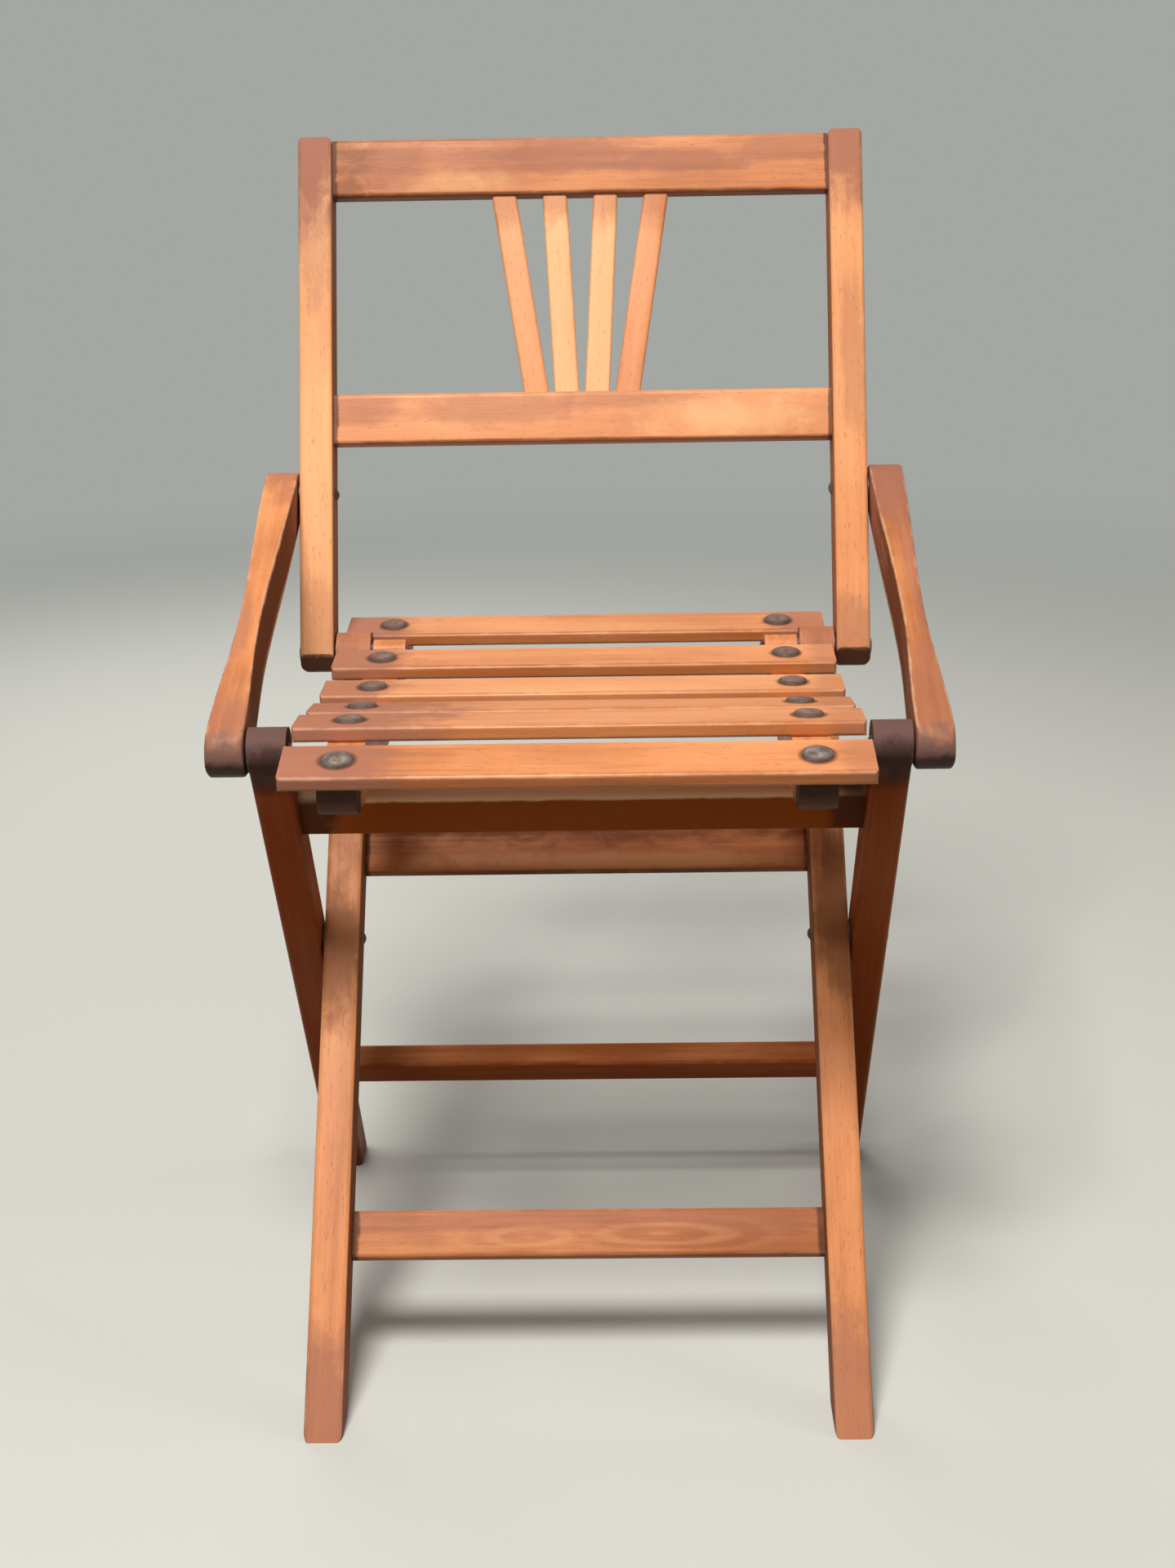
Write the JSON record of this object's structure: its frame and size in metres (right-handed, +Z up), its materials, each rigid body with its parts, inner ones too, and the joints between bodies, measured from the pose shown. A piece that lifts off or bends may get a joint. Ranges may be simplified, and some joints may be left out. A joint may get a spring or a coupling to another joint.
{
  "type": "folding chair",
  "caption": "Slatted wooden folding armchair for a child, with crossed legs, a curved seat, a back of fanned splats and waisted arms.",
  "frame": {"origin": "floor level, at the middle of the chair in width and in depth, chair standing open", "axes": "+Z up, +Y towards the back of the chair, +X to the right of someone who looks at its front"},
  "size_m": [0.3402, 0.382, 0.5623],
  "materials": {
    "wood_front_legs": "satin varnish, worn",
    "wood_rear_legs": "satin varnish, worn",
    "wood_posts": "satin varnish, worn",
    "wood_splats": "satin varnish, worn",
    "wood_arms": "satin varnish, worn",
    "wood_slats": "satin varnish, worn",
    "wood_bearers": "satin varnish, worn",
    "wood_rails": "satin varnish, worn",
    "steel": "dull, tarnished"
  },
  "bodies": {
    "front_legs": {"front_leg_left": "wood_front_legs", "front_leg_right": "wood_front_legs", "front_leg_upper_rail": "wood_rails", "front_leg_lower_rail": "wood_rails", "crossing_pin_left": "steel", "crossing_pin_right": "steel", "back_pin_left": "steel", "back_pin_right": "steel", "crossing_washers": "steel", "back_pin_washers": "steel", "seat_washers": "steel"},
    "rear_legs": {"rear_leg_left": "wood_rear_legs", "rear_leg_right": "wood_rear_legs", "seat_rail": "wood_rails", "rear_stretcher": "wood_rails", "arm_nose_pin_ends": "steel"},
    "backrest": {"back_post_left": "wood_posts", "back_post_right": "wood_posts", "back_top_rail": "wood_rails", "back_lower_rail": "wood_rails", "back_splat_1": "wood_splats", "back_splat_2": "wood_splats", "back_splat_3": "wood_splats", "back_splat_4": "wood_splats", "arm_rear_pin_left": "steel", "arm_rear_pin_right": "steel", "arm_rear_washers": "steel"},
    "seat": {"seat_slat_1": "wood_slats", "seat_slat_2": "wood_slats", "seat_slat_3": "wood_slats", "seat_slat_4": "wood_slats", "seat_slat_5": "wood_slats", "seat_slat_6": "wood_slats", "seat_bearer_left": "wood_bearers", "seat_bearer_right": "wood_bearers", "seat_studs": "steel"},
    "left_arm": {"arm_left": "wood_arms", "arm_nose_pin_left": "steel"},
    "right_arm": {"arm_right": "wood_arms", "arm_nose_pin_right": "steel"}
  },
  "joints": [
    {"name": "legs_fold", "type": "hinge", "parent": "front_legs", "child": "rear_legs", "pos_m": [0, -0.02221, 0.1808], "axis": [1, 0, 0], "range_deg": [0, 86]},
    {"name": "back_fold", "type": "hinge", "parent": "front_legs", "child": "backrest", "pos_m": [0, 0.08192, 0.30228], "axis": [1, 0, 0], "range_deg": [0, 128.1]},
    {"name": "seat_fold", "type": "hinge", "parent": "front_legs", "child": "seat", "pos_m": [0, 0.08192, 0.30228], "axis": [1, 0, 0], "range_deg": [0, 25.9]},
    {"name": "left_arm_fold", "type": "hinge", "parent": "backrest", "child": "left_arm", "pos_m": [0, 0.11223, 0.38084], "axis": [1, 0, 0], "range_deg": [-100, 0]},
    {"name": "right_arm_fold", "type": "hinge", "parent": "backrest", "child": "right_arm", "pos_m": [0, 0.11223, 0.38084], "axis": [1, 0, 0], "range_deg": [-100, 0]}
  ],
  "couplings": [
    {"joint": "back_fold", "follows": "legs_fold", "ratio": 1.4881},
    {"joint": "seat_fold", "follows": "legs_fold", "ratio": 0.3},
    {"joint": "left_arm_fold", "follows": "legs_fold", "ratio": -1.1616},
    {"joint": "right_arm_fold", "follows": "legs_fold", "ratio": -1.1616}
  ]
}
